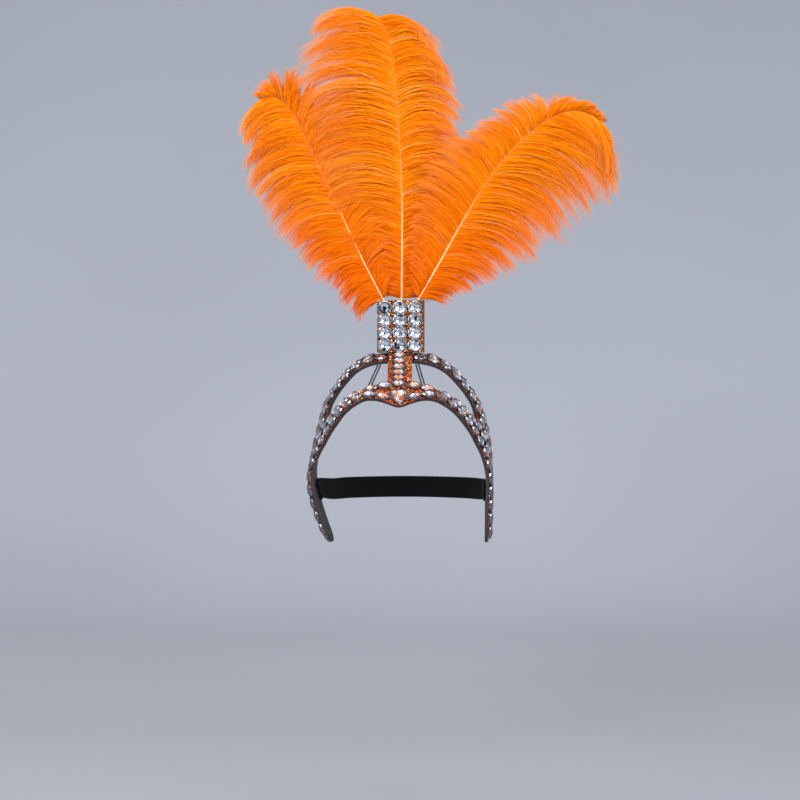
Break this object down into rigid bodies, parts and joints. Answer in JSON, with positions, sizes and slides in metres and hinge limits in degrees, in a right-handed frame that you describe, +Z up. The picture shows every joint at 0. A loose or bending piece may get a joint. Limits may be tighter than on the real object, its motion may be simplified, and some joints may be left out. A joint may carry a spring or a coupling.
{
  "type": "carnival feather headdress",
  "caption": "Carnival headdress: copper glitter foam forehead band, arch and ear flaps set with clear crystals, a crystal block holding orange ostrich plumes, and an elastic head strap.",
  "frame": {"origin": "on the inner face of the forehead band, on the centre line, where the headdress sits on the forehead", "axes": "+Z up, +Y into the wearer's head, so the front faces -Y, +X to the viewer's right as seen from the front"},
  "size_m": [0.4083, 0.1978, 0.5649],
  "materials": {
    "charcoal_foam": "charcoal-grey EVA foam, matte",
    "copper_glitter": "copper glitter sheet, sparkling",
    "clear_crystal": "clear cut crystal in silver claw settings",
    "orange_plume": "dyed orange ostrich plume with a cream quill",
    "black_elastic": "black woven elastic",
    "black_wire": "black coated wire, satin"
  },
  "bodies": {
    "root": {"foam_frame": "charcoal_foam", "tower_core": "charcoal_foam", "glitter_facing": "copper_glitter", "post_facing": "copper_glitter", "tower_wrap": "copper_glitter", "strap": "black_elastic", "brace_left": "black_wire", "brace_right": "black_wire", "plume_left": "orange_plume", "plume_centre": "orange_plume", "plume_right": "orange_plume", "tower_stone_1_1": "clear_crystal", "tower_stone_1_2": "clear_crystal", "tower_stone_1_3": "clear_crystal", "tower_stone_2_1": "clear_crystal", "tower_stone_2_2": "clear_crystal", "tower_stone_2_3": "clear_crystal", "tower_stone_3_1": "clear_crystal", "tower_stone_3_2": "clear_crystal", "tower_stone_3_3": "clear_crystal", "tower_stone_4_1": "clear_crystal", "tower_stone_4_2": "clear_crystal", "tower_stone_4_3": "clear_crystal", "post_stone_1": "clear_crystal", "post_stone_2": "clear_crystal", "post_stone_3": "clear_crystal", "post_stone_4": "clear_crystal", "post_stone_5": "clear_crystal", "post_stone_6": "clear_crystal", "centre_stone": "clear_crystal", "band_stones_left": "clear_crystal", "band_stones_right": "clear_crystal"}
  },
  "joints": []
}
